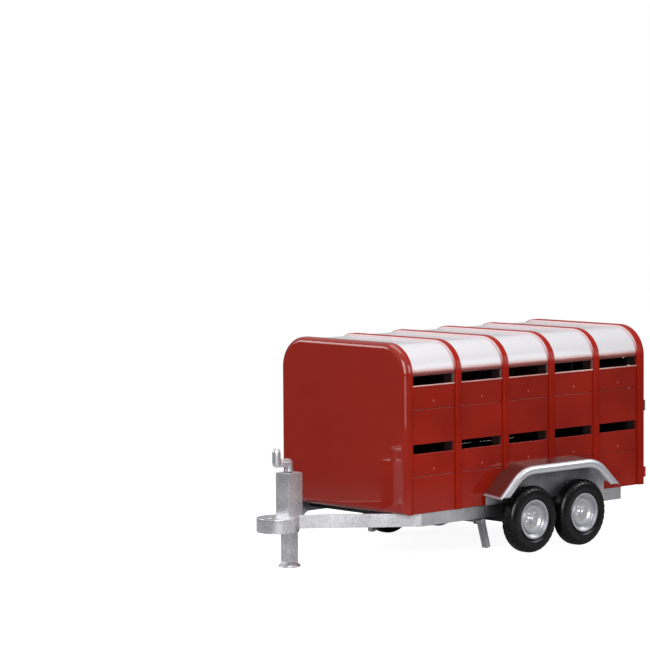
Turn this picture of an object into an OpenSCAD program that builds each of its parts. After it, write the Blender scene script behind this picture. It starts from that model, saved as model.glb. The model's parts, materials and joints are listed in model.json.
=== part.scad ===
// Twin-axle livestock trailer: a ribbed, slatted body with a rear ramp and inner gates, on a steel
// chassis with an A-frame drawbar. Millimetres, +Z up. The drawbar points along -Y, the left-hand
// (kerb) side is +X, and the origin is on the ground under the middle of the overall length.

/* [Body] */
// Length of the body, from the front panel to the rear portal
body_l = 3800; // [3400:50:4800]
// Width of the body over its ribs
body_w = 1940; // [1700:10:2400]
// Height of the roof ribs above the ground
body_top = 2355; // [2200:5:2900]
// Height of the body's underside above the ground
floor_h = 548; // [520:1:600]
// Radius of the roof corners over the ribs
corner_r = 340; // [260:5:400]
// Thickness of the floor deck
floor_t = 30; // [18:1:40]
// Depth of the front panel's rolled edge along the body
front_roll = 75; // [60:1:90]
// Thickness of the front panel's sheet
front_t = 20; // [12:1:30]
// Width of the front hoop behind the rolled edge
front_hoop_w = 48; // [30:1:80]
// Length of the rear portal along the body
portal_l = 110; // [90:1:150]
// Depth of the portal's posts across the body
portal_post = 120; // [100:1:150]
// Height of the portal's sill
sill_h = 52; // [40:1:70]

/* [Ribs and frames] */
// Number of ribs between the two ends
rib_count = 4; // [4:1:4]
// Width of a rib along the body
rib_w = 88; // [60:1:120]
// How far a rib stands out from the boards
rib_t = 27; // [15:1:40]
// Depth of the inner frames
frame_t = 40; // [25:1:60]
// Width of the inner frames along the body
frame_w = 60; // [40:1:80]
// Height of the cant rails
cant_h = 50; // [30:1:80]
// Depth of the cant rails
cant_t = 38; // [25:1:50]

/* [Boards and roof] */
// Thickness of a side board
board_t = 25; // [18:1:30]
// Gap left between two boards that follow each other
board_gap = 3; // [2:0.5:6]
// Height of the lowest board
low_board_h = 396; // [250:1:500]
// Height of the board under the lower slot
middle_board_h = 238; // [150:1:300]
// Height of the board under the upper slot
top_board_h = 252; // [150:1:300]
// Height of the ventilation slots
slot_h = 99; // [60:1:120]
// Distance from the top of the upper slot up to the top of the ribs
eave_drop = 347; // [300:1:420]
// Thickness of a roof sheet
sheet_t = 15; // [10:1:20]
// Radius of a board bolt's head
bolt_head_r = 14; // [8:1:20]
// Height of a board bolt's head
bolt_head_h = 6; // [4:1:10]
// Height of the bolts above the lower edge of their board
bolt_rise = 66; // [40:1:100]

/* [Chassis] */
// Height of the chassis rails and the drawbar beams
rail_h = 140; // [100:1:160]
// Width of the chassis rails and the drawbar beams
rail_w = 60; // [50:1:80]
// Distance from the ribs' outer face in to the rails' outer face
rail_inset = 45; // [35:1:60]
// Distance that the body hangs past the rear end of the rails
rail_short = 350; // [150:5:450]
// Height of the cross-members
cross_h = 90; // [60:1:110]
// Width of the cross-members
cross_w = 50; // [40:1:80]
// Number of cross-members
cross_count = 5; // [4:1:7]
// Distance from the body's front face to the point of the drawbar
draw_apex = 865; // [800:5:1000]
// Angle between a drawbar beam and the centre line
draw_angle = 39; // [36:0.5:42]
// Radius of the coupling head
head_r = 227; // [210:1:240]
// Distance from the body's front face to the middle of the coupling head
head_reach = 932; // [900:1:1000]
// Thickness of the coupling head
head_h = 152; // [120:1:155]
// How far the top of the coupling head lies under the top of the beams
head_drop = 8; // [0:1:20]
// Radius of the towing pin's hole
pin_hole_r = 25.5; // [20:0.5:28]
// Distance from the middle of the coupling head forward to the towing pin
pin_ahead = 118; // [110:1:140]

/* [Jack] */
// Distance from the body's front face to the jack
jack_reach = 770; // [750:1:800]
// Outer width of the square jack housing
jack_w = 200; // [180:1:210]
// Height of the jack housing
jack_h = 460; // [420:5:520]
// Width of the square jack leg
leg_w = 130; // [110:1:140]
// Wall of the jack leg
leg_wall = 8; // [6:1:12]
// Length of the jack's stroke
jack_stroke = 290; // [200:5:320]
// Radius of the jack's foot
foot_r = 117; // [100:1:130]
// Height of the jack's foot
foot_h = 48; // [30:1:60]
// Radius of the jack's screw
screw_r = 15; // [12:0.5:18]
// Reach of the crank, from the screw to the middle of its grip
crank_reach = 176; // [150:1:220]
// Radius of the crank's arm
crank_r = 30; // [20:1:34]
// Radius of the crank's grip
grip_r = 38; // [25:1:42]
// Height of the crank's grip above its arm
grip_h = 160; // [110:1:180]
// Height of the crank's arm above the jack housing
crank_rise = 105; // [80:1:130]

/* [Wheels] */
// Outer diameter of the tyres
tyre_d = 730; // [640:2:760]
// Width of the tyres
tyre_w = 185; // [165:1:195]
// Diameter of the rim under the tyre's beads
rim_d = 406; // [356:1:420]
// Thickness of the rim's barrel and disc
rim_t = 8; // [6:1:10]
// Distance between the two axles
axle_gap = 800; // [780:5:900]
// Distance from the middle of the body back to the middle of the two axles
axle_set_back = 251; // [150:1:350]
// Gap between the ribs' outer face and the tyres
tyre_gap = 36; // [34:1:60]
// Length of a suspension arm
arm_l = 155; // [130:1:180]
// Thickness of a suspension arm
arm_t = 44; // [30:1:46]
// Radius of a suspension arm's ends
arm_r = 42; // [36:1:46]
// Width of the square axle beams
beam_w = 80; // [70:1:90]
// Radius of a torsion shaft
shaft_r = 22; // [18:1:26]
// Radius of a wheel spindle
spindle_r = 25; // [20:1:30]

/* [Mudguards] */
// Height of the mudguards' outer edge above the ground
guard_top = 955; // [920:1:1000]
// Rise of a mudguard's top from its outer edge to the body, in degrees
guard_slope = 6; // [3:0.5:8]
// Depth of a mudguard's outer lip
lip_h = 95; // [70:1:110]
// Thickness of a mudguard's outer lip
lip_t = 25; // [15:1:30]
// Gap between a tyre and the mudguard's lip
lip_gap = 7; // [5:1:20]
// Thickness of a mudguard's sheet
guard_t = 8; // [5:1:10]
// Radius of the bends in a mudguard
guard_bend_r = 450; // [400:5:500]
// Angle of a mudguard's sloping ends
guard_angle = 42; // [38:1:46]
// Half the length of a mudguard's level top
guard_half = 428; // [400:2:500]
// Height of a mudguard's ends above the ground
guard_end = 640; // [600:5:680]
// Thickness of the splash plates
splash_t = 6; // [4:1:10]

/* [Ramp and gates] */
// Height of the rear ramp
ramp_h = 1000; // [900:10:1100]
// Thickness of the rear ramp
ramp_t = 37; // [30:1:45]
// Distance from the body's side to the ramp's side edge
ramp_side = 70; // [66:1:80]
// Number of treads on the ramp
tread_count = 7; // [5:1:9]
// Height of a tread above the ramp
tread_t = 14; // [8:1:16]
// Radius of a ramp hinge's knuckle
knuckle_r = 15; // [13:1:18]
// Radius of a ramp hinge's pin
hinge_pin_r = 8; // [6:0.5:9]
// Radius of the gates' tubes
gate_r = 19; // [15:1:22]
// Number of bars in a gate
gate_bars = 5; // [4:1:7]
// Height of the gates' top above the ground
gate_top = 2000; // [1800:5:2010]
// Thickness of the sheet that fills a gate
gate_sheet_t = 4; // [2:0.5:6]
// Radius of the gate bolt
gate_bolt_r = 8; // [6:0.5:10]
// Length of the gate bolt
gate_bolt_l = 170; // [150:5:200]
// Length of a ramp catch
catch_l = 110; // [80:1:140]
// Width of a ramp catch
catch_w = 26; // [20:1:30]
// Thickness of a ramp catch
catch_t = 10; // [8:1:12]

/* [Stand and lamps] */
// Distance from the body's front face to the prop stand's shaft
stand_y = 1215; // [1190:1:1240]
// Width of a prop stand leg at its top
stand_w = 78; // [60:1:90]
// Length of the prop stand's legs
stand_l = 300; // [250:5:320]
// Backward lean of the prop stand's legs, in degrees
stand_lean = 16; // [10:1:20]
// Width of a rear lamp
lamp_w = 58; // [40:1:60]
// Height of a rear lamp
lamp_h = 120; // [80:1:160]
// Depth of a rear lamp
lamp_t = 30; // [20:1:40]

/* [Clearances] */
// Radial clearance of a shaft that turns or slides in its hole
run_gap = 0.05; // [0.02:0.01:0.09]
// Gap between parts that pass each other
pass_gap = 2; // [1:0.5:4]
// Clearance of the jack leg in its housing
leg_gap = 1; // [0.5:0.5:3]

/* [Hidden] */

LEFT = 1;
RIGHT = -1;
FRONT = -1;
REAR = 1;
RED = "#8c2a22";
WHITE = "#f2f1ee";
SILVER = "#b9babd";
BLACK = "#17171a";
$fn = 64;

half_w = body_w / 2;
board_x = half_w - rib_t;
inner_x = board_x - board_t;
front_end = front_roll + front_hoop_w;
portal_y = body_l - portal_l;
bay = (portal_y - front_end - rib_count * rib_w) / (rib_count + 1);
eave_z = body_top - eave_drop;
top_board_z = eave_z - slot_h - top_board_h;
low_slot_z = floor_h + low_board_h + board_gap + middle_board_h;
upper_board_z = low_slot_z + slot_h;
sheet_top = body_top - rib_t;
portal_x = half_w - portal_post;

rail_x = half_w - rail_inset;
rail_z = floor_h - rail_h;
rail_end = body_l - rail_short;
bend_out = rail_x / tan(draw_angle) - draw_apex;
bend_in = (rail_x - rail_w + rail_w / cos(draw_angle)) / tan(draw_angle) - draw_apex;
beam_inner_apex = rail_w / sin(draw_angle) - draw_apex;
head_z = floor_h - head_drop - head_h;

housing_z = floor_h - head_drop;
housing_top = housing_z + jack_h;
cap_t = 25;
leg_top = housing_top - cap_t - 15 - jack_stroke;
nut_t = 30;
crank_z = housing_top + crank_rise;
screw_bottom = foot_h + nut_t;

wheel_z = tyre_d / 2;
tyre_x = half_w + tyre_gap + tyre_w / 2;
rim_r = rim_d / 2;
flange_r = rim_r + 11;
flange_t = 8;
rim_half = tyre_w / 2 - 6;
axle_y = body_l / 2 + axle_set_back;
beam_z = rail_z - beam_w / 2;
beam_half = rail_x + 5;
arm_x = beam_half + pass_gap;
arm_tilt = asin((beam_z - wheel_z) / arm_l);
arm_run = arm_l * cos(arm_tilt);
disc_u = 22;

lip_x = half_w + tyre_gap + tyre_w + lip_gap;

ramp_front = body_l + 1;
ramp_back = ramp_front + ramp_t;
ramp_x = half_w - ramp_side;
pivot_y = ramp_back + knuckle_r - 3;
pivot_z = floor_h + sill_h - 15;
ramp_z = pivot_z + 6;
tread_x = portal_x - 12;

gate_y = portal_y - 40;
gate_x = portal_x - 30;
gate_z = floor_h + floor_t + 38;
bolt_z = bar_z(floor(gate_bars / 2));
bolt_y = gate_y + gate_r + 14;
catch_x = half_w - 45;
catch_z = ramp_z + ramp_h - 100;
catch_y = ramp_back + pass_gap;

stand_shaft_r = 20;
stand_z = rail_z - stand_shaft_r - 18;
stand_x = rail_x - rail_w - 15;
bearing_w = 45;
bearing_step = 19;

y_front = -head_reach - head_r;
y_rear = pivot_y + knuckle_r;
shift_y = -(y_front + y_rear) / 2;

// ---- helpers ----

// Moves a piece from the body's front face to the origin under the middle of the trailer
module place() translate([0, shift_y, 0]) children();

// Draws its children on one side: as drawn on the left, mirrored on the right
module side(s) mirror([s == LEFT ? 0 : 1, 0, 0]) children();

// A box from its lower and upper corners
module box(a, b) translate(a) cube(b - a);

// Extrudes a shape drawn in X and Z from y0 to y1
module along(y0, y1) translate([0, y1, 0]) rotate([90, 0, 0]) linear_extrude(y1 - y0) children();

// A rod along X from x0 to x1
module rod_x(x0, x1, r) translate([x0, 0, 0]) rotate([0, 90, 0]) cylinder(h = x1 - x0, r = r);

// The cross-section of the body: straight sides and a flat top with round corners
module arch(half, top, r, bottom = floor_h) {
    translate([-half, bottom]) square([2 * half, top - r - bottom]);
    translate([-half + r, bottom]) square([2 * (half - r), top - bottom]);
    for (s = [LEFT, RIGHT]) translate([s * (half - r), top - r]) circle(r, $fn = 96);
}

// The ring between the arch of the given inset and the arch of that inset plus a depth
module arch_ring(inset, depth) difference() {
    arch(half_w - inset, body_top - inset, corner_r - inset);
    translate([0, -1]) arch(half_w - inset - depth, body_top - inset - depth + 1, corner_r - inset - depth);
}

function bar_z(i) = gate_z + 60 + i * (gate_top - gate_z - 120) / (gate_bars - 1);
function rib_y(i) = front_end + i * bay + (i - 0.5) * rib_w;
function wheel_y(e) = axle_y + e * axle_gap / 2;
function pivot_of(e) = wheel_y(e) - arm_run;

// ---- chassis ----

module leg_hole() {
    half = leg_w / 2 + leg_gap;
    box([-half, -jack_reach - half, head_z - 1], [half, -jack_reach + half, floor_h + 1]);
}

// A rail with the bearing of the prop stand's shaft on its inner face
module chassis_rail(s) place() side(s) color(SILVER) {
    bearing_l = 60;
    inner = rail_x - rail_w;
    translate([0, 0, rail_z]) linear_extrude(rail_h)
        polygon([[rail_x, bend_out], [rail_x, rail_end], [inner, rail_end], [inner, bend_in]]);
    difference() {
        union() {
            box([inner - bearing_w - bearing_step, stand_y - bearing_l / 2, rail_z],
                [inner + 1, stand_y + bearing_l / 2, rail_z + 40]);
            box([inner - bearing_w - bearing_step, stand_y - bearing_l / 2, stand_z - stand_shaft_r - 12],
                [inner - bearing_step, stand_y + bearing_l / 2, rail_z + 1]);
        }
        translate([0, stand_y, stand_z])
            rod_x(inner - bearing_w - bearing_step - 1, inner, stand_shaft_r + run_gap);
    }
}

module cross_members() place() color(SILVER) {
    first = bend_in + 20;
    step = (rail_end - cross_w - first) / (cross_count - 1);
    for (i = [0:cross_count - 1])
        box([-rail_x + rail_w, first + i * step, floor_h - cross_h],
            [rail_x - rail_w, first + i * step + cross_w, floor_h]);
}

module drawbar(s) place() side(s) color(SILVER) difference() {
    translate([0, 0, rail_z]) linear_extrude(rail_h)
        polygon([[0, -draw_apex], [rail_x, bend_out], [rail_x - rail_w, bend_in], [0, beam_inner_apex]]);
    translate([0, -head_reach, rail_z - 1]) cylinder(h = rail_h + 2, r = head_r, $fn = 128);
    leg_hole();
    box([-1, -jack_reach - jack_w / 2, housing_z], [jack_w / 2, -jack_reach + jack_w / 2, floor_h + 1]);
}

module coupling_head() place() color(SILVER) difference() {
    translate([0, -head_reach, head_z]) cylinder(h = head_h, r = head_r, $fn = 128);
    translate([0, -head_reach - pin_ahead, head_z - 1]) cylinder(h = head_h + 2, r = pin_hole_r);
    leg_hole();
}

// ---- jack ----

module jack_housing() place() color(SILVER) translate([0, -jack_reach, 0]) difference() {
    half = jack_w / 2;
    inner = leg_w / 2 + leg_gap;
    box([-half, -half, housing_z], [half, half, housing_top]);
    box([-inner, -inner, housing_z - 1], [inner, inner, housing_top - cap_t]);
    translate([0, 0, housing_top - cap_t - 1]) cylinder(h = cap_t + 2, r = screw_r + run_gap);
}

// The leg is a tube whose closed top is the nut on the jack's screw
module jack_leg() place() color(SILVER) translate([0, -jack_reach, 0]) difference() {
    half = leg_w / 2;
    inner = half - leg_wall;
    box([-half, -half, foot_h], [half, half, leg_top]);
    box([-inner, -inner, foot_h + leg_wall], [inner, inner, leg_top - nut_t]);
    translate([0, 0, leg_top - nut_t - 1]) cylinder(h = nut_t + 2, r = screw_r + run_gap);
}

module jack_foot() place() color(SILVER) translate([0, -jack_reach, 0]) {
    rim_h = foot_h / 3;
    cylinder(h = rim_h, r = foot_r);
    translate([0, 0, rim_h]) cylinder(h = foot_h - rim_h, r1 = foot_r, r2 = leg_w / 2 * 1.2);
}

module crank_handle() place() color(SILVER) translate([0, -jack_reach, 0]) {
    screw_end = leg_top - nut_t - 60;
    translate([0, 0, screw_end]) cylinder(h = crank_z - screw_end, r = screw_r);
    translate([0, 0, housing_top + pass_gap]) cylinder(h = crank_rise - pass_gap, r = crank_r);
    translate([0, 0, crank_z]) {
        sphere(crank_r);
        rotate([90, 0, 0]) cylinder(h = crank_reach, r = crank_r);
        translate([0, -crank_reach, 0]) {
            sphere(grip_r);
            cylinder(h = grip_h - grip_r, r = grip_r);
            translate([0, 0, grip_h - grip_r]) sphere(grip_r);
        }
    }
}

// ---- body ----

// The deck fills the body, and its front end lies between the posts of the front hoop
module floor_deck() place() color("#6b5a48") {
    box([-inner_x, front_end, floor_h], [inner_x, portal_y, floor_h + floor_t]);
    box([-inner_x + frame_t, front_roll, floor_h], [inner_x - frame_t, front_end + 1, floor_h + floor_t]);
}

// A sheet with a rolled edge: the shell between two rounded caps
module front_panel() place() color(RED) difference() {
    rolled_cap(0, front_roll - 10);
    translate([0, front_t, 0]) rolled_cap(front_t, front_roll - 10 - front_t);
    box([-half_w, front_t, floor_h - 1], [half_w, front_roll, floor_h]);
}

// The arch from the inset's face back to the end of the roll, its front edge rounded
module rolled_cap(inset, r) hull() for (a = [0:15:90]) {
    in = inset + r * (1 - cos(a));
    y = r * (1 - sin(a));
    along(y, front_roll + (inset > 0 ? 1 : 0)) rolled_slice(in, inset);
}

module rolled_slice(in, inset) {
    bottom = floor_h - (inset > 0 ? 1 : 0);
    arch(half_w - in, body_top - in, corner_r - in * 0.9, bottom);
}

module front_hoop() place() color(RED) along(front_roll, front_end) arch_ring(0, rib_t + board_t + frame_t);

module rear_portal() place() color(RED) {
    along(portal_y, body_l) difference() {
        arch(half_w, body_top, corner_r);
        arch(portal_x, body_top - portal_post, corner_r - portal_post, floor_h + sill_h);
    }
    for (s = [LEFT, RIGHT]) side(s) {
        for (b = [[gate_z - 26, 0, 22], [gate_top + 4, -30, 22]])
            translate([0, 0, b[0]]) {
                box([gate_x - gate_r, gate_y - gate_r, 0], [portal_x + 30, portal_y, b[2]]);
                translate([gate_x, gate_y, b[1]]) cylinder(h = 52, r = gate_bolt_r);
            }
        translate([catch_x, catch_y - pass_gap / 2, catch_z]) rotate([90, 0, 0])
            cylinder(h = catch_y - pass_gap / 2 - body_l, r = 11);
        translate([catch_x, catch_y + catch_t + 1, catch_z]) rotate([90, 0, 0])
            cylinder(h = catch_t + 1 + pass_gap, r = 6);
        translate([catch_x, catch_y + catch_t + 4, catch_z]) rotate([90, 0, 0]) cylinder(h = 3, r = 10);
    }
}

// A rib over the boards and the roof, with lugs that close the slots behind it
module rib(i) place() color(RED) {
    y0 = rib_y(i) - rib_w / 2;
    along(y0, y0 + rib_w) arch_ring(0, rib_t);
    for (s = [LEFT, RIGHT]) side(s) for (z = [low_slot_z, eave_z - slot_h])
        box([inner_x, y0, z], [board_x + 1, y0 + rib_w, z + slot_h]);
}

// A rail along the eave, shaped to the inside of the roof sheets
module cant_rail_shape() for (s = [LEFT, RIGHT]) side(s) along(front_end, portal_y) intersection() {
    translate([board_x - sheet_t - cant_t, eave_z]) square([cant_t, cant_h]);
    arch(board_x - sheet_t, sheet_top - sheet_t, corner_r - rib_t - sheet_t);
}

module inner_frames() place() color(RED) for (i = [1:rib_count]) difference() {
    y0 = rib_y(i) - frame_w / 2;
    drop = rib_t + sheet_t;
    along(y0, y0 + frame_w) difference() {
        arch(inner_x, body_top - drop, corner_r - drop, floor_h + floor_t);
        translate([0, -1]) arch(inner_x - frame_t, body_top - drop - frame_t + 1, corner_r - drop - frame_t,
            floor_h + floor_t);
    }
    cant_rail_shape();
}

module cant_rails() place() color(RED) cant_rail_shape();

module board(s, z0, z1) place() side(s) color(RED)
    box([inner_x, front_end, z0], [board_x, portal_y, z1]);

module board_low(s) board(s, floor_h, floor_h + low_board_h);
module board_middle(s) board(s, floor_h + low_board_h + board_gap, low_slot_z);
module board_upper(s) board(s, upper_board_z, top_board_z - board_gap);
module board_top(s) board(s, top_board_z, eave_z - slot_h);

module board_bolts() place() color(RED)
    for (s = [LEFT, RIGHT], i = [0:rib_count]) side(s)
        for (z = [floor_h + low_board_h + board_gap + bolt_rise, top_board_z + bolt_rise + 10])
            translate([0, front_end + i * (bay + rib_w) + bay / 2, z])
                rod_x(board_x, board_x + bolt_head_h, bolt_head_r);

// A roof sheet reaches from the middle of one rib to the middle of the next
module roof_sheet(i) place() color(WHITE) {
    y0 = i == 1 ? front_end : rib_y(i - 1);
    y1 = i == rib_count + 1 ? portal_y : rib_y(i);
    along(y0, y1) intersection() {
        arch_ring(rib_t, sheet_t);
        translate([-half_w, eave_z]) square([body_w, body_top]);
    }
}

// ---- mudguards ----

// Half of the guard's outline at a depth under its outer edge, from the middle to the sloping end
function guard_line(d) = concat(
    [for (a = [0:6:guard_angle]) [guard_half + (guard_bend_r - d) * sin(a),
        guard_top - guard_bend_r + (guard_bend_r - d) * cos(a)]],
    [[guard_half + (guard_bend_r - d) * sin(guard_angle)
        + (guard_top - guard_bend_r + (guard_bend_r - d) * cos(guard_angle) - guard_end) / tan(guard_angle),
        guard_end]]);
function reversed(p) = [for (i = [len(p) - 1:-1:0]) p[i]];
function other_end(p) = [for (q = reversed(p)) [-q[0], q[1]]];
function whole_line(d) = concat(other_end(guard_line(d)), guard_line(d));

// A plate that follows the guard's outline, between two depths and between x0 and x1
module guard_plate(d0, d1, x0, x1) translate([x0, axle_y, 0]) rotate([90, 0, 90])
    linear_extrude(x1 - x0) polygon(concat(whole_line(d0), reversed(whole_line(d1))));

module rib_bars(x1) for (i = [1:rib_count])
    box([board_x, rib_y(i) - rib_w / 2, floor_h], [x1, rib_y(i) + rib_w / 2, eave_z]);

// The lip, and the sheet that slopes up from inside it to the boards and is notched round the ribs
module mudguard(s) place() side(s) color(SILVER) {
    guard_plate(0, lip_h, lip_x, lip_x + lip_t);
    difference() {
        intersection() {
            translate([lip_x, 0, guard_top - guard_t]) rotate([0, guard_slope, 0])
                translate([-lip_x, 0, -guard_top]) guard_plate(0, guard_t, board_x - 60, lip_x + 80);
            box([board_x, axle_y - 1200, guard_end - 60], [lip_x + lip_t / 2, axle_y + 1200, guard_top + 60]);
        }
        rib_bars(half_w);
    }
}

// The plates that close the inner side of each wheel arch, a little under the guard's sheet. The sheet
// lies lowest over the plate on the guard's sloping ends.
module splash_plates() place() color(SILVER) {
    under = guard_t + guard_t / cos(guard_angle) / cos(guard_slope);
    lean = (guard_top - guard_end) * (1 / cos(guard_slope) - 1);
    rise = (lip_x - half_w - splash_t) * tan(guard_slope) - under - lean - pass_gap;
    line = [for (p = whole_line(0)) p + [0, rise]];
    foot = line[len(line) - 1][0];
    for (s = [LEFT, RIGHT]) side(s) translate([half_w, axle_y, 0]) rotate([90, 0, 90])
        linear_extrude(splash_t) polygon(concat([[-foot, floor_h]], line, [[foot, floor_h]]));
}

// ---- ramp ----

module ramp() place() color(RED) {
    pocket = 12;
    edge = 70;
    fields = 3;
    field_w = (2 * ramp_x - (fields + 1) * edge) / fields;
    difference() {
        box([-ramp_x, ramp_front, ramp_z], [ramp_x, ramp_back, ramp_z + ramp_h]);
        for (i = [0:fields - 1])
            box([-ramp_x + edge + i * (field_w + edge), ramp_back - pocket, ramp_z + edge],
                [-ramp_x + (i + 1) * (field_w + edge), ramp_back + 1, ramp_z + ramp_h - edge]);
        for (x = hinge_places) translate([0, pivot_y, pivot_z])
            rod_x(x - ear_out - pass_gap, x + ear_out + pass_gap, knuckle_r + pass_gap);
    }
    for (x = hinge_places) ramp_knuckle(x);
}

knuckle_w = 60;
ear_w = 18;
ear_in = knuckle_w / 2 + pass_gap;
ear_out = ear_in + ear_w;
hinge_places = [-0.75 * ramp_x, 0, 0.75 * ramp_x];

// A knuckle on the ramp's foot, with the strap that joins it to the ramp's face
module ramp_knuckle(x) difference() {
    union() {
        translate([0, pivot_y, pivot_z]) rod_x(x - knuckle_w / 2, x + knuckle_w / 2, knuckle_r);
        box([x - knuckle_w / 2, ramp_back, pivot_z],
            [x + knuckle_w / 2, pivot_y + knuckle_r, pivot_z + 50]);
    }
    translate([0, pivot_y, pivot_z]) rod_x(x - knuckle_w, x + knuckle_w, hinge_pin_r + run_gap);
    translate([0, pivot_y, pivot_z + 20]) box([x - knuckle_w, -knuckle_r - 1 + 12, 0],
        [x + knuckle_w, knuckle_r + 1, 40]);
}

module ramp_treads() place() color("#b9babd") {
    step = (ramp_h - 120) / (tread_count - 1);
    for (i = [0:tread_count - 1])
        translate([0, 0, ramp_z + 50 + i * step])
            box([-tread_x, ramp_front - tread_t, 0], [tread_x, ramp_front, 22]);
}

// Two ears beside each ramp knuckle, on a bracket under the sill, with the pin through them
module ramp_hinges() place() color(SILVER) for (x = hinge_places) translate([x, 0, 0]) {
    for (s = [LEFT, RIGHT]) side(s) {
        box([ear_in, body_l, floor_h], [ear_out, pivot_y, pivot_z - 1]);
        translate([0, pivot_y, pivot_z]) rod_x(ear_in, ear_out, knuckle_r);
    }
    translate([0, pivot_y, pivot_z]) rod_x(-ear_out, ear_out, hinge_pin_r);
}

// ---- gates ----

// A tube frame with bars, filled with a sheet that darkens the compartment
module gate() {
    free_x = gate_r + 4;
    edge = 15;
    difference() {
        union() {
            for (x = [free_x, gate_x]) translate([x, gate_y, gate_z])
                cylinder(h = gate_top - gate_z, r = gate_r);
            for (i = [0:gate_bars - 1]) translate([0, gate_y, bar_z(i)]) rod_x(free_x, gate_x, gate_r - 3);
            box([free_x, gate_y - gate_sheet_t / 2, gate_z + edge],
                [gate_x, gate_y + gate_sheet_t / 2, gate_top - edge]);
        }
        for (z = [gate_z - 1, gate_top - 40])
            translate([gate_x, gate_y, z]) cylinder(h = 41, r = gate_bolt_r + run_gap);
    }
}

// A block on the middle bar that the gate bolt passes through
module bolt_guide(x0, x1, clearance) difference() {
    box([x0, gate_y, bolt_z - 20], [x1, bolt_y + 20, bolt_z + 20]);
    translate([0, bolt_y, bolt_z]) rod_x(x0 - 1, x1 + 1, gate_bolt_r + clearance);
}

module gate_left() place() color(SILVER) {
    gate();
    bolt_guide(8, 40, run_gap);
    bolt_guide(130, 160, run_gap);
}

// The bolt slides in with more play here, so that the gates needn't meet exactly
module gate_right() place() side(RIGHT) color(SILVER) {
    gate();
    bolt_guide(8, 40, 1);
}

module gate_bolt() place() color(SILVER) {
    translate([0, bolt_y, bolt_z]) rod_x(10, 10 + gate_bolt_l, gate_bolt_r);
    translate([90, bolt_y, bolt_z]) cylinder(h = 45, r = 6);
}

// ---- catches, lamps and stand ----

module ramp_catch(s) place() side(s) color(SILVER) difference() {
    union() {
        box([catch_x - catch_w / 2, catch_y, catch_z - catch_l],
            [catch_x + catch_w / 2, catch_y + catch_t, catch_z]);
        translate([catch_x, catch_y + catch_t, catch_z]) rotate([90, 0, 0])
            cylinder(h = catch_t, r = catch_w / 2);
    }
    translate([catch_x, catch_y + catch_t + 1, catch_z]) rotate([90, 0, 0])
        cylinder(h = catch_t + 2, r = 6 + run_gap);
}

module rear_lamps() place() color("#b01010") for (s = [LEFT, RIGHT]) side(s)
    box([half_w - 4 - lamp_w, body_l, floor_h + 80], [half_w - 4, body_l + lamp_t, floor_h + 80 + lamp_h]);

// Two legs on one cross shaft, leaning back from under the rails
module prop_stand() place() color(SILVER) translate([0, stand_y, stand_z]) {
    rod_x(-stand_x, stand_x, stand_shaft_r);
    for (s = [LEFT, RIGHT]) side(s) {
        rod_x(stand_x - 3, stand_x + stand_w + 3, stand_shaft_r + 12);
        rotate([stand_lean, 0, 0]) translate([stand_x, 0, 0]) rotate([90, 0, 90])
            linear_extrude(stand_w) polygon([[-stand_w / 3, 0], [stand_w / 3, 0],
                [stand_w / 3, -stand_l], [-stand_w / 3, -stand_l]]);
    }
}

// ---- running gear ----

// The square beams under the rails, bored at both ends for the torsion shafts
module axle_beams() place() color(SILVER) for (e = [FRONT, REAR]) translate([0, pivot_of(e), beam_z])
    difference() {
        box([-beam_half, -beam_w / 2, -beam_w / 2], [beam_half, beam_w / 2, beam_w / 2]);
        for (s = [LEFT, RIGHT]) side(s) rod_x(beam_half - 150, beam_half + 1, shaft_r + run_gap);
    }

// A trailing arm with its torsion shaft in the beam and its spindle in the wheel
module arm(s, e) place() side(s) color(SILVER) translate([0, pivot_of(e), beam_z]) {
    rod_x(beam_half - 140, arm_x, shaft_r);
    rod_x(arm_x, arm_x + arm_t, arm_r);
    rotate([-arm_tilt, 0, 0]) {
        box([arm_x, 0, -arm_r * 0.75], [arm_x + arm_t, arm_l, arm_r * 0.75]);
        translate([0, arm_l, 0]) {
            rod_x(arm_x, arm_x + arm_t, arm_r);
            rod_x(arm_x + arm_t, tyre_x + disc_u + 20, spindle_r);
        }
    }
}

// The wheel's place: its own axis along X, u measured outwards from the tyre's middle
module at_wheel(s, e) place() side(s) translate([tyre_x, wheel_y(e), wheel_z]) rotate([0, 90, 0]) children();

module rim(s, e) at_wheel(s, e) color(SILVER) {
    rotate_extrude($fn = 96) polygon([[rim_r - rim_t, -rim_half], [flange_r, -rim_half],
        [flange_r, -rim_half + flange_t], [rim_r, -rim_half + flange_t], [rim_r, rim_half - flange_t],
        [flange_r, rim_half - flange_t], [flange_r, rim_half], [rim_r - rim_t, rim_half]]);
    dished_disc();
    hub();
    for (i = [0:nut_count - 1]) rotate([0, 0, i * 360 / nut_count])
        translate([nut_pitch_r, 0, disc_u + 12 + rim_t - 2]) cylinder(h = 16, r = 13, $fn = 6);
}

nut_count = 5;
nut_pitch_r = 72;
hub_r = 52;
hub_in = -(tyre_x - arm_x - arm_t) + pass_gap;
disc_line = [[hub_r - 1, disc_u + 12], [100, disc_u + 12], [118, disc_u + 34], [146, disc_u + 34],
    [168, disc_u], [rim_r - rim_t + 1, disc_u]];

// The pressed disc: a stepped dish between the hub and the barrel
module dished_disc() rotate_extrude($fn = 96)
    polygon(concat(disc_line, [for (p = reversed(disc_line)) [p[0], p[1] + rim_t]]));

module hub() difference() {
    union() {
        translate([0, 0, hub_in]) cylinder(h = disc_u + 44 - hub_in, r = hub_r);
        translate([0, 0, disc_u + 44]) cylinder(h = 14, r1 = 38, r2 = 30);
    }
    translate([0, 0, hub_in - 1]) cylinder(h = disc_u + 24 - hub_in, r = spindle_r + run_gap);
}

// The tyre's bulge from one bead round to the other, at the given half height and half width
bead_angle = 40;
function tyre_outline(h, w) = [for (a = [-bead_angle:10:180 + bead_angle])
    [(rim_r + tyre_d / 2) / 2 + h * rounded(sin(a)), w * rounded(cos(a))]];
function rounded(v) = sign(v) * pow(abs(v), 0.72);

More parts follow.
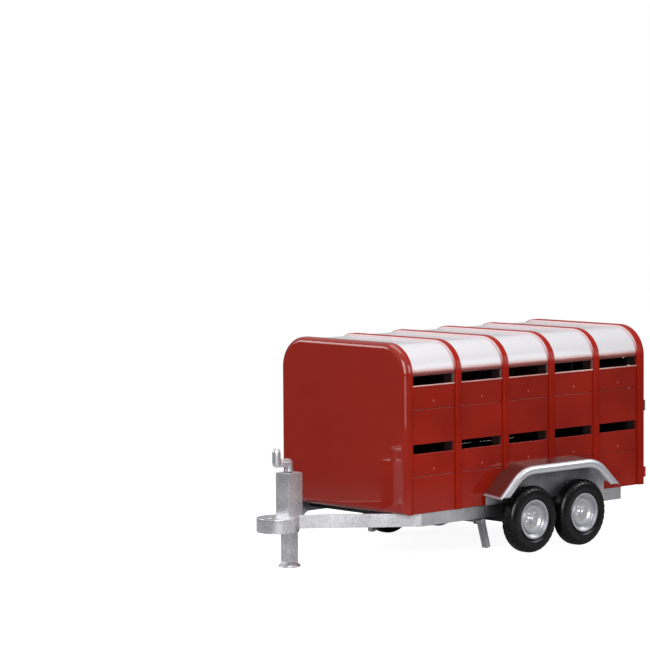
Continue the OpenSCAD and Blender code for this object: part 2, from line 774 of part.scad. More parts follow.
module tyre(s, e) at_wheel(s, e) color(BLACK) {
    wall = 15;
    bead = 24;
    h = (tyre_d / 2 - rim_r) / 2;
    bead_u = rim_half - flange_t;
    rotate_extrude($fn = 128) polygon(concat(
        [[rim_r, bead_u]], tyre_outline(h, tyre_w / 2), [[rim_r, -bead_u], [rim_r, -bead_u + bead]],
        reversed(tyre_outline(h - wall, tyre_w / 2 - wall)), [[rim_r, bead_u - bead]]));
}

chassis_rail(LEFT);  // chassis_rail_left
chassis_rail(RIGHT);  // chassis_rail_right
cross_members();
drawbar(LEFT);  // drawbar_left
drawbar(RIGHT);  // drawbar_right
coupling_head();
jack_housing();
jack_leg();
jack_foot();
crank_handle();
floor_deck();
front_panel();
front_hoop();
rear_portal();
rib(1);  // rib_1
rib(2);  // rib_2
rib(3);  // rib_3
rib(4);  // rib_4
inner_frames();
cant_rails();
board_low(LEFT);  // board_low_left
board_middle(LEFT);  // board_middle_left
board_upper(LEFT);  // board_upper_left
board_top(LEFT);  // board_top_left
board_low(RIGHT);  // board_low_right
board_middle(RIGHT);  // board_middle_right
board_upper(RIGHT);  // board_upper_right
board_top(RIGHT);  // board_top_right
board_bolts();
roof_sheet(1);  // roof_sheet_1
roof_sheet(2);  // roof_sheet_2
roof_sheet(3);  // roof_sheet_3
roof_sheet(4);  // roof_sheet_4
roof_sheet(5);  // roof_sheet_5
mudguard(LEFT);  // mudguard_left
mudguard(RIGHT);  // mudguard_right
splash_plates();
ramp();
ramp_treads();
ramp_hinges();
gate_left();
gate_right();
gate_bolt();
ramp_catch(LEFT);  // catch_left
ramp_catch(RIGHT);  // catch_right
rear_lamps();
prop_stand();
axle_beams();
arm(LEFT, FRONT);  // arm_front_left
arm(RIGHT, FRONT);  // arm_front_right
arm(LEFT, REAR);  // arm_rear_left
arm(RIGHT, REAR);  // arm_rear_right
rim(LEFT, FRONT);  // rim_front_left
rim(RIGHT, FRONT);  // rim_front_right
rim(LEFT, REAR);  // rim_rear_left
rim(RIGHT, REAR);  // rim_rear_right
tyre(LEFT, FRONT);  // tyre_front_left
tyre(RIGHT, FRONT);  // tyre_front_right
tyre(LEFT, REAR);  // tyre_rear_left
tyre(RIGHT, REAR);  // tyre_rear_right
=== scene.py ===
# %% [markdown]
# # A livestock trailer
#
# The CAD frame brings every part of the trailer at its true place and size. Here the parts get the
# rounded edges, rolled beads, tread and paint that a real trailer shows. The frame is loaded first,
# and the boxes of its parts give the sizes and places of what is made here. Nothing made here may
# change the trailer's size.

# %% Load the frame
import json
import math

import bpy
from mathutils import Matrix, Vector


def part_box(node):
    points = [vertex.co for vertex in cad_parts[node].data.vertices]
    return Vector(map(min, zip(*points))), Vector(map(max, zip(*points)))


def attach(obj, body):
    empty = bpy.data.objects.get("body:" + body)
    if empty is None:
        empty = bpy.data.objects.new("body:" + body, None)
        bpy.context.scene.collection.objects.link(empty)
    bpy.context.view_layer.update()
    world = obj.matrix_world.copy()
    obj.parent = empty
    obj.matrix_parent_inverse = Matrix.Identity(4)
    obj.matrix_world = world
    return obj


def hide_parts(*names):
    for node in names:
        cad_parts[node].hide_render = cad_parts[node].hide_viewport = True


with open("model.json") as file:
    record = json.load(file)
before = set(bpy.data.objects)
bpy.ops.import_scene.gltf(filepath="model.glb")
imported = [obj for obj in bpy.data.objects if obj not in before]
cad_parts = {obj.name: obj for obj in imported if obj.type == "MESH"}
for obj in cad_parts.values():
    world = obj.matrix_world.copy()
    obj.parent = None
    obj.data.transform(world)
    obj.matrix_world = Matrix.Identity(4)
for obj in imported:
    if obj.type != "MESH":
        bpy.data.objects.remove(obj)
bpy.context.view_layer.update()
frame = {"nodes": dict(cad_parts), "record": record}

MM = 0.001
bodies = frame["record"]["behaviour"]["bodies"]
body_of = {node: body for body, nodes in bodies.items() for node in nodes}

# %% [markdown]
# ## Helpers
#
# Every operator works on what is selected, so a piece is always made active alone first. Faces and
# edges are picked by a test on their middle point and direction, which is what a hand would do by
# looking at them.

# %% Selection and edit-mode helpers
def only(piece):
    """Makes one piece selected and active."""
    bpy.ops.object.select_all(action="DESELECT")
    piece.select_set(True)
    bpy.context.view_layer.objects.active = piece
    return piece


def edit(piece, *steps):
    """Runs steps in edit mode on one piece."""
    only(piece)
    bpy.ops.object.mode_set(mode="EDIT")
    for step in steps:
        step()
    bpy.ops.object.mode_set(mode="OBJECT")


def pick_faces(piece, test):
    """Selects the faces whose middle point and normal pass a test."""
    edit(piece, lambda: bpy.ops.mesh.select_mode(type="FACE"),
         lambda: bpy.ops.mesh.select_all(action="DESELECT"))
    for face in piece.data.polygons:
        face.select = bool(test(face.center, face.normal))
    return sum(face.select for face in piece.data.polygons)


def pick_edges(piece, test):
    """Selects the edges whose two ends pass a test."""
    edit(piece, lambda: bpy.ops.mesh.select_mode(type="EDGE"),
         lambda: bpy.ops.mesh.select_all(action="DESELECT"))
    points = piece.data.vertices
    for edge in piece.data.edges:
        a, b = (points[i].co for i in edge.vertices)
        edge.select = bool(test(a, b))
    return sum(edge.select for edge in piece.data.edges)


def finish_piece(piece, body, material, smooth=35, replaces=()):
    """Applies the piece's place, smooths it, paints it and makes it ride on its body.

    Weighted normals keep the broad flat faces flat to the eye, and bend the light only on the
    narrow rounded edges between them.
    """
    only(piece)
    bpy.ops.object.transform_apply(location=True, rotation=True, scale=True)
    bpy.ops.object.shade_smooth_by_angle(angle=math.radians(smooth))
    flat = piece.modifiers.new("flat_faces", "WEIGHTED_NORMAL")
    flat.keep_sharp = True
    apply_all(piece)
    piece.data.materials.clear()
    piece.data.materials.append(material)
    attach(piece, body)
    if replaces:
        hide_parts(*replaces)
    return piece


def apply_all(piece):
    """Applies every modifier in its order."""
    only(piece)
    for modifier in list(piece.modifiers):
        bpy.ops.object.modifier_apply(modifier=modifier.name)


# %% [markdown]
# ## Rounding the CAD parts
#
# Sawn, folded and welded steel never has a knife edge: a bright line runs along each rounded edge
# and tells the eye how thick the metal is. A copy of each CAD part is merged, its flat faces are
# dissolved back to whole faces, and a Bevel modifier rounds every edge sharper than a chosen angle.

# %% A rounded copy of a CAD part
def merged_copy(node, name):
    """A copy of a CAD node with its doubles merged and its flat triangles dissolved."""
    mesh = frame["nodes"][node].data.copy()
    piece = bpy.data.objects.new(name, mesh)
    bpy.context.collection.objects.link(piece)
    edit(piece,
         lambda: bpy.ops.mesh.select_all(action="SELECT"),
         lambda: bpy.ops.mesh.remove_doubles(threshold=0.02 * MM),
         lambda: bpy.ops.mesh.dissolve_limited(angle_limit=math.radians(0.4)))
    return piece


def rounded_copy(node, width_mm, material, segments=3, angle=40):
    """Replaces a CAD node by a copy with rounded edges."""
    piece = merged_copy(node, node + "_rounded")
    bevel = piece.modifiers.new("edges", "BEVEL")
    bevel.width = width_mm * MM
    bevel.segments = segments
    bevel.limit_method = "ANGLE"
    bevel.angle_limit = math.radians(angle)
    apply_all(piece)
    return finish_piece(piece, body_of[node], material, replaces=[node])


def line_inside(piece, material, test):
    """Gives the faces that pass a test a second material."""
    piece.data.materials.append(material)
    count = pick_faces(piece, test)
    piece.active_material_index = 1
    edit(piece, lambda: bpy.ops.object.material_slot_assign())
    return count


# %% [markdown]
# ## Materials
#
# One function turns an sRGB hex colour into linear light, and one adds a node with its settings and
# links. Patterns are laid out in metres on Object coordinates, so that they keep their real scale.
# Where a real pattern is too fine to show, it is drawn coarser, and a comment gives both sizes.

# %% Material helpers
def paint(code):
    """An sRGB hex colour as linear RGBA."""
    parts = [int(code[i:i + 2], 16) / 255 for i in (0, 2, 4)]
    return (*[c / 12.92 if c <= 0.04045 else ((c + 0.055) / 1.055) ** 2.4 for c in parts], 1.0)


def add(tree, kind, inputs=(), stops=(), **settings):
    """Adds a node with its settings, inputs and colour stops.

    Inputs are given by name, or in their order. A socket is linked and anything else is set.
    """
    node = tree.nodes.new("ShaderNode" + kind)
    for key, value in settings.items():
        setattr(node, key, value)
    for key, value in inputs.items() if isinstance(inputs, dict) else enumerate(inputs):
        if isinstance(value, bpy.types.NodeSocket):
            tree.links.new(value, node.inputs[key])
        else:
            node.inputs[key].default_value = value
    for i, (position, code) in enumerate(stops):
        stop = node.color_ramp.elements[i] if i < 2 else node.color_ramp.elements.new(position)
        stop.position = position
        stop.color = paint(code)
    return node


def per_metre(size_mm):
    """The scale of a noise whose lumps are about one size across."""
    return 1000 / size_mm


def new_material(name, constants=()):
    """A material with a Principled shader, its constants and object coordinates in metres."""
    material = bpy.data.materials.new(name)
    material.use_nodes = True
    tree = material.node_tree
    shader = tree.nodes["Principled BSDF"]
    for key, value in dict(constants).items():
        shader.inputs[key].default_value = value
    place = add(tree, "TexCoord").outputs["Object"]
    return material, tree, shader, place


def join_to(tree, shader, links):
    """Links sockets to the shader's inputs."""
    for key, socket in links.items():
        tree.links.new(socket, shader.inputs[key])


def colour_of(material):
    """The tree, shader and present colour of a material that gets one more layer of colour."""
    tree = material.node_tree
    shader = tree.nodes["Principled BSDF"]
    return tree, shader, shader.inputs["Base Color"].links[0].from_socket


# %% [markdown]
# ### Red sprayed enamel
#
# The body is steel and aluminium, sprayed with a gloss enamel. Thick gloss paint flows out smooth
# but not flat: broad, shallow waves bend the reflections, and the colour sinks a little darker in
# some places. The clear top layer is a coat with its own sharp reflection. The front panel is
# polished to the full coat, and the bolt heads are painted a paler red as a painted highlight.

# %% Red enamel
def red_enamel(name="sprayed_red_enamel", light="901B0C", deep="7D1407", coat=0.55):
    material, tree, shader, place = new_material(
        name, {"IOR": 1.45, "Specular IOR Level": 0.08, "Coat Weight": coat, "Coat Roughness": 0.04})
    shades = add(tree, "TexNoise", {"Vector": place, "Scale": per_metre(600), "Detail": 1.5,
                                    "Roughness": 0.55}).outputs["Fac"]
    gloss = add(tree, "TexNoise", {"Vector": place, "Scale": per_metre(160), "Detail": 3.0,
                                   "Roughness": 0.55}).outputs["Fac"]
    # real orange peel is about 3 mm across; it is drawn 60 mm across so that it shows at this distance
    peel = add(tree, "TexNoise", {"Vector": place, "Scale": per_metre(60), "Detail": 1.0,
                                  "Roughness": 0.55}).outputs["Fac"]
    waves = add(tree, "Bump", {"Strength": 0.4, "Distance": 0.5 * MM, "Height": peel})
    join_to(tree, shader, {
        "Base Color": add(tree, "ValToRGB", [shades], [(0.30, deep), (0.72, light)]).outputs["Color"],
        "Roughness": add(tree, "MapRange", [gloss, 0.3, 0.7, 0.28, 0.38]).outputs["Result"],
        "Normal": waves.outputs["Normal"]})
    return material


RED = red_enamel()
PANEL_RED = red_enamel("polished_red_enamel_on_panel", "891A0B", "841709", coat=1.0)
# the bolt heads get a paler red than the boards, a painted highlight
BOLT_HIGHLIGHT_RED = red_enamel("red_enamel_with_painted_highlight_on_bolts", "B04A3E", "9A3A30", coat=1.0)
print("materials", RED.name, PANEL_RED.name, BOLT_HIGHLIGHT_RED.name)

# %% [markdown]
# Over the roof bends the hoops are painted a brighter red, a painted highlight for the light from
# above. Their two narrow sides there caught the white of the roof, which makes the red line look thin
# from the side. So the same enamel gets a colour that changes with height, and a white veil that
# depends on which way the face looks.

# %% Red enamel on the hoops
VEIL_MOST = 0.8
# heights from the eave: where the painted highlight and the veil start, and where both are full
HIGHLIGHT_FROM, VEIL_FROM, BOTH_FULL = -250 * MM, 50 * MM, 200 * MM


def hoop_enamel(name, towards):
    """The veil lies on sides that face along +Y or -Y (towards 1 or -1), or on both (0)."""
    material = red_enamel(name, coat=0.12)
    tree, shader, flat = colour_of(material)
    where = add(tree, "TexCoord")
    height = add(tree, "SeparateXYZ", [where.outputs["Object"]]).outputs["Z"]
    facing = add(tree, "SeparateXYZ", [where.outputs["Normal"]]).outputs["Y"]
    kind = "MULTIPLY" if towards else "ABSOLUTE"
    sideways = add(tree, "Math", [facing, towards], operation=kind).outputs[0]
    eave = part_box("roof_sheet_1")[0].z
    full = eave + BOTH_FULL
    highlight_rise = add(tree, "MapRange", [height, eave + HIGHLIGHT_FROM, full, 0.0, 1.0]).outputs["Result"]
    roof = add(tree, "MapRange", [height, eave + VEIL_FROM, full, 0.0, VEIL_MOST]).outputs["Result"]
    edge = add(tree, "MapRange", [sideways, 0.7, 0.92, 0.0, 1.0]).outputs["Result"]
    veil = add(tree, "Math", [roof, edge], operation="MULTIPLY").outputs[0]
    # from below the eave up over the roof bends the red brightens to 98190B, a painted highlight
    highlight_red = add(tree, "Mix", {0: highlight_rise, 6: flat, 7: paint("98190B")}, data_type="RGBA").outputs[2]
    misted = add(tree, "Mix", {0: veil, 6: highlight_red, 7: paint("D8D2D4")}, data_type="RGBA").outputs[2]
    join_to(tree, shader, {"Base Color": misted})
    return material


HOOP_RED = hoop_enamel("red_enamel_with_painted_highlight_on_ribs", 0)
HOOP_RED_FRONT = hoop_enamel("red_enamel_with_painted_highlight_on_front_hoop", 1)
HOOP_RED_REAR = hoop_enamel("red_enamel_with_painted_highlight_on_portal", -1)
print("materials", HOOP_RED.name, HOOP_RED_FRONT.name, HOOP_RED_REAR.name)

# %% [markdown]
# ### Near-black painted shade inside
#
# Inside, the boards, frames and roof are painted near-black with a dull, coarse pebble grain, a
# painted shade for the dark inside of the compartment, so the slots look black from outside.

# %% Inside painted shade
def inside_painted_shade():
    material, tree, shader, place = new_material("near_black_painted_shade_inside", {
        "Specular IOR Level": 0.12})
    # the real grain is about 3 mm; it is drawn 12 mm across so that it shows through the doorway
    pebbles = add(tree, "TexNoise", {"Vector": place, "Scale": per_metre(12), "Detail": 4.0,
                                     "Roughness": 0.6}).outputs["Fac"]
    grain = add(tree, "Bump", {"Strength": 0.5, "Distance": 0.8 * MM, "Height": pebbles})
    join_to(tree, shader, {
        "Base Color": add(tree, "ValToRGB", [pebbles],
                          [(0.3, "080202"), (0.7, "140605")]).outputs["Color"],
        "Roughness": add(tree, "MapRange", [pebbles, 0.3, 0.7, 0.55, 0.8]).outputs["Result"],
        "Normal": grain.outputs["Normal"]})
    return material


INSIDE_SHADE = inside_painted_shade()
print("material", INSIDE_SHADE.name)

# %% [markdown]
# ### White roof enamel with red overspray
#
# The roof sheets are white, and the red ribs and sides were sprayed next to them. A thin pink mist
# lies on the white along the ribs, and above the slots the white darkens to a red-brown that is
# darker than the red enamel. The distance to the nearest rib comes from a ping-pong of the Y
# coordinate, and the distance to the eave from Z.

# %% White enamel
RIB_MIST = 35 * MM
EAVE_DARK, EAVE_MIST = 8 * MM, 85 * MM


def white_enamel():
    material, tree, shader, place = new_material(
        "white_roof_enamel", {"IOR": 1.45, "Coat Weight": 0.3, "Coat Roughness": 0.08})
    first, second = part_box("rib_1"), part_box("rib_2")
    rib_y = (first[0].y + first[1].y) / 2
    pitch = (second[0].y + second[1].y) / 2 - rib_y
    half_rib = (first[1].y - first[0].y) / 2
    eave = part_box("roof_sheet_1")[0].z
    axes = add(tree, "SeparateXYZ", [place])
    # the start is moved four ribs forwards, ahead of the whole roof
    shifted = add(tree, "Math", [axes.outputs["Y"], rib_y - 4 * pitch], operation="SUBTRACT").outputs[0]
    beside = add(tree, "Math", [shifted, pitch / 2], operation="PINGPONG").outputs[0]
    # real spray droplets are under 1 mm; they are drawn 14 mm across so that the mist looks grainy
    droplets = add(tree, "TexNoise", {"Vector": place, "Scale": per_metre(14), "Detail": 5.0,
                                      "Roughness": 0.7}).outputs["Fac"]
    wander = add(tree, "MapRange", [droplets, 0.2, 0.8, -20 * MM, 20 * MM]).outputs["Result"]
    near_rib = add(tree, "Math", [beside, wander], operation="ADD").outputs[0]
    near_eave = add(tree, "Math", [axes.outputs["Z"], wander], operation="ADD").outputs[0]
    by_rib = add(tree, "MapRange", [near_rib, half_rib, half_rib + RIB_MIST, 0.38, 0.0]).outputs["Result"]
    by_eave = add(tree, "MapRange", [near_eave, eave + EAVE_DARK, eave + EAVE_MIST,
                                     1.0, 0.0]).outputs["Result"]
    red = add(tree, "Math", [by_rib, by_eave], operation="MAXIMUM").outputs[0]
    gloss = add(tree, "TexNoise", {"Vector": place, "Scale": per_metre(200), "Detail": 3.0,
                                   "Roughness": 0.55}).outputs["Fac"]
    sag = add(tree, "TexNoise", {"Vector": place, "Scale": per_metre(260), "Detail": 1.0,
                                 "Roughness": 0.55}).outputs["Fac"]
    waves = add(tree, "Bump", {"Strength": 0.15, "Distance": 0.3 * MM, "Height": sag})
    join_to(tree, shader, {
        "Base Color": add(tree, "ValToRGB", [red], [(0.0, "CDCBCF"), (1.0, "4A0D07"), (0.28, "C6ADAD"),
                                                    (0.66, "8A3A32")]).outputs["Color"],
        "Roughness": add(tree, "MapRange", [gloss, 0.3, 0.7, 0.36, 0.46]).outputs["Result"],
        "Normal": waves.outputs["Normal"]})
    return material


WHITE = white_enamel()
print("material", WHITE.name)

# %% [markdown]
# ### Silver paint
#
# Chassis, jack and mudguards have a silver paint with a coarse aluminium flake. The flake sparkles,
# so the metal is not an even mirror: each grain tilts a little and has its own tone. On the wheels
# and mudguards the same paint flowed out even and smooth.

# %% Silver paint
def silver_paint(name, colours, grain_mm, depth_mm, roughness):
    """Colours are the light and dark hex, roughness its two ends from grain to grain."""
    material, tree, shader, place = new_material(name, {"Metallic": 0.88})
    # real flakes are 0.05 mm across; they are drawn 12 to 40 mm across, as coarse as they need to show
    fine = add(tree, "TexNoise", {"Vector": place, "Scale": per_metre(grain_mm), "Detail": 4.0,
                                  "Roughness": 0.7}).outputs["Fac"]
    broad = add(tree, "TexNoise", {"Vector": place, "Scale": per_metre(240), "Detail": 3.0,
                                   "Roughness": 0.55}).outputs["Fac"]
    both = add(tree, "Math", [fine, 0.65], operation="MULTIPLY").outputs[0]
    rest = add(tree, "Math", [broad, 0.35], operation="MULTIPLY").outputs[0]
    mixed = add(tree, "Math", [both, rest], operation="ADD").outputs[0]
    light, dark = colours
    flakes = add(tree, "Bump", {"Strength": 0.6, "Distance": depth_mm * MM, "Height": fine})
    join_to(tree, shader, {
        "Base Color": add(tree, "ValToRGB", [mixed], [(0.32, dark), (0.66, light)]).outputs["Color"],
        "Roughness": add(tree, "MapRange", [fine, 0.3, 0.7, *roughness]).outputs["Result"],
        "Normal": flakes.outputs["Normal"]})
    return material


SILVER = silver_paint("coarse_flake_silver_paint", ("F3F3F7", "A2A2A8"), 12, 1.0, (0.24, 0.44))
WHEEL = silver_paint("wheel_silver_paint", ("DEDEE3", "BEBEC4"), 17, 0.02, (0.29, 0.31))
print("materials", SILVER.name, WHEEL.name)

# %% [markdown]
# On the mudguards the flat sheet between the body and the lip is tinted red, a painted reflection
# of the red side above it, while the lip and the sheet's ends stay bright. The plates behind the
# wheels and the rails in front of them darken towards the wheels, a painted shade, and the members
# under the floor are painted dark all over, a painted shade too. All of them are the same silver
# paint with a colour that changes from place to place.

# %% Silver paint on the mudguards
REFLECTION_EDGE = (62 * MM, 40 * MM)   # where the painted reflection fades out, from the lip's outer face
REFLECTION_ENDS = (26 * MM, 14 * MM)   # and from the sheet's two ends


def guard_paint():
    material = silver_paint("silver_paint_with_painted_red_reflection", ("DEDEE4", "D2D2DA"), 40, 0.0, (0.29, 0.30))
    tree, shader, flat = colour_of(material)
    shader.inputs["Metallic"].default_value = 0.75
    low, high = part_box("mudguard_left")
    half = (high.y - low.y) / 2
    where = add(tree, "TexCoord")
    axes = add(tree, "SeparateXYZ", [where.outputs["Object"]])
    upwards = add(tree, "SeparateXYZ", [where.outputs["Normal"]]).outputs["Z"]
    out = add(tree, "Math", [axes.outputs["X"]], operation="ABSOLUTE").outputs[0]
    inner = add(tree, "MapRange", [out, high.x - REFLECTION_EDGE[0], high.x - REFLECTION_EDGE[1],
                                   1.0, 0.0]).outputs["Result"]
    middle = add(tree, "Math", [axes.outputs["Y"], low.y + half], operation="SUBTRACT").outputs[0]
    along = add(tree, "Math", [middle], operation="ABSOLUTE").outputs[0]
    ends = add(tree, "MapRange", [along, half - REFLECTION_ENDS[0], half - REFLECTION_ENDS[1],
                                  1.0, 0.0]).outputs["Result"]
    top = add(tree, "MapRange", [upwards, 0.15, 0.45, 0.0, 1.0]).outputs["Result"]
    both = add(tree, "Math", [inner, ends], operation="MULTIPLY").outputs[0]
    red_reflection = add(tree, "Math", [both, top], operation="MULTIPLY").outputs[0]
    # the top of the sheet near the body is tinted 86453C, a painted reflection of the red side
    tone = add(tree, "Mix", {0: red_reflection, 6: flat, 7: paint("86453C")}, data_type="RGBA").outputs[2]
    join_to(tree, shader, {"Base Color": tone})
    return material


# %% Silver paint with painted shade by the wheels
SHADE_GROWS = (-620 * MM, -50 * MM)   # from the front of the front tyre
SHADE_ENDS = (-100 * MM, 120 * MM)    # from the rear of the rear tyre


def silver_with_painted_wheel_shade(name, most):
    """Silver paint whose painted shade grows towards the front wheel and ends behind the rear wheel."""
    material = silver_paint(name, ("ECECF0", "A2A2A8"), 12, 0.8, (0.26, 0.46))
    tree, shader, flat = colour_of(material)
    place = add(tree, "TexCoord").outputs["Object"]
    front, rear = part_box("tyre_front_left")[0].y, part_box("tyre_rear_left")[1].y
    along = add(tree, "SeparateXYZ", [place]).outputs["Y"]
    clouds = add(tree, "TexNoise", {"Vector": place, "Scale": per_metre(90), "Detail": 4.0,
                                    "Roughness": 0.7}).outputs["Fac"]
    wander = add(tree, "MapRange", [clouds, 0.3, 0.7, -90 * MM, 90 * MM]).outputs["Result"]
    edge = add(tree, "Math", [along, wander], operation="ADD").outputs[0]
    grows = add(tree, "MapRange", [edge, front + SHADE_GROWS[0], front + SHADE_GROWS[1],
                                   0.0, most]).outputs["Result"]
    ends = add(tree, "MapRange", [edge, rear + SHADE_ENDS[0], rear + SHADE_ENDS[1],
                                  1.0, 0.1]).outputs["Result"]
    # darker towards and between the wheels: a painted shade
    wheel_shade = add(tree, "Math", [grows, ends], operation="MULTIPLY").outputs[0]
    tone = add(tree, "Mix", {0: wheel_shade, 6: flat, 7: paint("2C2C30")}, data_type="RGBA").outputs[2]
    join_to(tree, shader, {"Base Color": tone})
    return material


GUARD = guard_paint()
RAIL_SILVER = silver_with_painted_wheel_shade("silver_paint_with_painted_shade_by_wheels", 0.82)
PLATE = silver_with_painted_wheel_shade("silver_paint_behind_wheels", 0.55)
# the members under the floor are painted dark grey all over, a painted shade
UNDER = silver_paint("dark_silver_paint_as_painted_shade_under_floor", ("4A4A4E", "222226"), 12, 0.8, (0.4, 0.6))
print("materials", GUARD.name, RAIL_SILVER.name, PLATE.name, UNDER.name)

# %% [markdown]
# ### Tyre rubber, deck board, lamp lens and galvanised steel
#
# Tyre rubber dressed for sale is deep black with a soft gloss. The deck is a resin-faced plywood
# with a pressed grain. The lamps are moulded acrylic. Gates and treads are zinc dipped, which shows
# as flat spangles of slightly different greys.

# %% Rubber, deck, lens and zinc
def tyre_rubber():
    material, tree, shader, place = new_material("moulded_tyre_rubber", {
        "Specular IOR Level": 0.22, "Coat Weight": 0.16, "Coat Roughness": 0.05})
    # the real grain of the mould is under 1 mm; it is drawn 11 mm across so that it shows
    speck = add(tree, "TexNoise", {"Vector": place, "Scale": per_metre(11), "Detail": 4.0,
                                   "Roughness": 0.6}).outputs["Fac"]
    gloss = add(tree, "TexNoise", {"Vector": place, "Scale": per_metre(60), "Detail": 3.0,
                                   "Roughness": 0.55}).outputs["Fac"]
    grain = add(tree, "Bump", {"Strength": 0.6, "Distance": 0.9 * MM, "Height": speck})
    join_to(tree, shader, {
        "Base Color": add(tree, "ValToRGB", [speck],
                          [(0.35, "040405"), (0.75, "0C0C0D")]).outputs["Color"],
        "Roughness": add(tree, "MapRange", [gloss, 0.3, 0.7, 0.18, 0.32]).outputs["Result"],
        "Normal": grain.outputs["Normal"]})
    return material


def deck_board():
    material, tree, shader, place = new_material("resin_faced_plywood")
    # wood grain runs along Y, so the noise is stretched twelve times that way; real pores are under
    # 1 mm wide, and they are drawn 18 mm wide so that they show from behind the trailer
    stretched = add(tree, "Mapping", {"Vector": place, "Scale": (1.0, 0.08, 1.0)}).outputs[0]
    grain = add(tree, "TexNoise", {"Vector": stretched, "Scale": per_metre(18), "Detail": 5.0,
                                   "Roughness": 0.65}).outputs["Fac"]
    relief = add(tree, "Bump", {"Strength": 0.6, "Distance": 0.6 * MM, "Height": grain})
    join_to(tree, shader, {
        "Base Color": add(tree, "ValToRGB", [grain], [(0.3, "2A201A"), (0.7, "4B3A2E")]).outputs["Color"],
        "Roughness": add(tree, "MapRange", [grain, 0.3, 0.7, 0.45, 0.7]).outputs["Result"],
        "Normal": relief.outputs["Normal"]})
    return material


def lamp_lens():
    material, tree, shader, place = new_material("moulded_red_acrylic", {
        "Coat Weight": 1.0, "Coat Roughness": 0.03})
    flute = 12 * MM   # the width of a light or a dark flute, about its real size
    flutes = add(tree, "TexWave", {"Vector": place, "Scale": 1 / (flute * 6.28), "Distortion": 0.0},
                 bands_direction="Z").outputs["Fac"]
    relief = add(tree, "Bump", {"Strength": 0.8, "Distance": 1.5 * MM, "Height": flutes})
    join_to(tree, shader, {
        "Base Color": add(tree, "ValToRGB", [flutes],
                          [(0.0, "6A0606"), (1.0, "B81212")]).outputs["Color"],
        "Roughness": add(tree, "MapRange", [flutes, 0.0, 1.0, 0.08, 0.2]).outputs["Result"],
        "Normal": relief.outputs["Normal"]})
    return material


def zinc():
    material, tree, shader, place = new_material("hot_dip_galvanised_steel", {"Metallic": 1.0})
    # the flat spangles of hot dip zinc really are about 18 mm across
    spangle = add(tree, "TexVoronoi", {"Vector": place, "Scale": per_metre(18)}).outputs["Color"]
    grey = add(tree, "SeparateColor", [spangle]).outputs[0]
    relief = add(tree, "Bump", {"Strength": 0.4, "Distance": 0.15 * MM, "Height": grey})
    join_to(tree, shader, {
        "Base Color": add(tree, "ValToRGB", [grey], [(0.0, "8F9396"), (1.0, "B9BCBE")]).outputs["Color"],
        "Roughness": add(tree, "MapRange", [grey, 0.0, 1.0, 0.32, 0.5]).outputs["Result"],
        "Normal": relief.outputs["Normal"]})
    return material


RUBBER, DECK, LENS, ZINC = tyre_rubber(), deck_board(), lamp_lens(), zinc()
print("materials", RUBBER.name, DECK.name, LENS.name, ZINC.name)

# %% [markdown]
# ## The arch
#
# Ribs, hoop and portal are all bent to one outline: straight sides, a flat top and round corners.
# Their outer edges are strongly rounded, like a rolled channel, while the edges against the boards
# stay sharp. So only the edges that lie on the outer outline are bevelled.

# %% Outline of the arch
rib_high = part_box("rib_1")[1]
HALF_W, ARCH_TOP = rib_high.x, rib_high.z
ARCH_R = 340 * MM


def outside_arch(p):
    """Distance of a point from the arch's outline, positive outwards."""
    x, z = abs(p.x), p.z
    corner_x, corner_z = HALF_W - ARCH_R, ARCH_TOP - ARCH_R
    if x > corner_x and z > corner_z:
        return math.hypot(x - corner_x, z - corner_z) - ARCH_R
    return max(x - HALF_W, z - ARCH_TOP)


def rolled_hoop(node, width_mm, sides, segments=6, material=HOOP_RED):
    """A hoop whose outer edges are rounded on each of its sides that is given by its Y."""
    piece = merged_copy(node, node + "_rolled")

    def outer(a, b):
        level = any(abs(a.y - y) < MM and abs(b.y - y) < MM for y in sides)
        return level and abs(outside_arch(a)) < 3 * MM and abs(outside_arch(b)) < 3 * MM

    count = pick_edges(piece, outer)
    edit(piece, lambda: bpy.ops.mesh.bevel(offset=width_mm * MM, segments=segments, clamp_overlap=True))
    print(piece.name, "rounded edges", count)
    return finish_piece(piece, body_of[node], material, replaces=[node], smooth=40)


for number in range(1, 5):
    low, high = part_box(f"rib_{number}")
    rolled_hoop(f"rib_{number}", 20, (low.y, high.y))

# %% [markdown]
# ## Front panel
#
# The front is one pressed sheet with a broad rolled edge, the smoothest surface on the trailer. It
# is modelled afresh, because a pressing wants even curves: a block, its two upper corners bevelled
# to the arch, its front edge bevelled to the roll, and its back hollowed by an inset and an extrude.

# %% Front panel
PANEL_ROLL = 62 * MM
PANEL_WALL = 20 * MM
PANEL_HOLLOW = 50 * MM


def front_panel():
    low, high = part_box("front_panel")
    bpy.ops.object.select_all(action="DESELECT")
    bpy.ops.mesh.primitive_cube_add(size=1, location=(low + high) / 2)
    piece = bpy.context.object
    piece.name = "front_panel_pressed"
    piece.scale = high - low
    only(piece)
    bpy.ops.object.transform_apply(location=True, rotation=True, scale=True)
    pick_edges(piece, lambda a, b: abs(a.x - b.x) < MM and abs(a.z - b.z) < MM and a.z > high.z - MM)
    edit(piece, lambda: bpy.ops.mesh.bevel(offset=ARCH_R, segments=24))
    pick_edges(piece, lambda a, b: max(a.y, b.y) < low.y + MM)
    edit(piece, lambda: bpy.ops.mesh.bevel(offset=PANEL_ROLL, segments=10))
    pick_faces(piece, lambda centre, normal: normal.y > 0.99)
    edit(piece, lambda: bpy.ops.mesh.inset(thickness=PANEL_WALL),
         lambda: bpy.ops.mesh.extrude_region_move(
             TRANSFORM_OT_translate={"value": (0, -PANEL_HOLLOW, 0)}))
    return finish_piece(piece, "trailer", PANEL_RED, replaces=["front_panel"],
                        smooth=30)


panel = front_panel()
print(panel.name, "faces", len(panel.data.polygons))

# %% [markdown]
# ## Hoop, portal, boards and roof
#
# The rest of the body is rounded from the CAD parts. The front hoop carries on the panel's surface,
# so its front edge is left square against the panel, and the portal's rear edge is rounded like a
# rib. Boards and sheets get the small radius of a folded edge.

# %% Body parts
rolled_hoop("front_hoop", 14, (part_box("front_hoop")[1].y,), segments=4, material=HOOP_RED_FRONT)
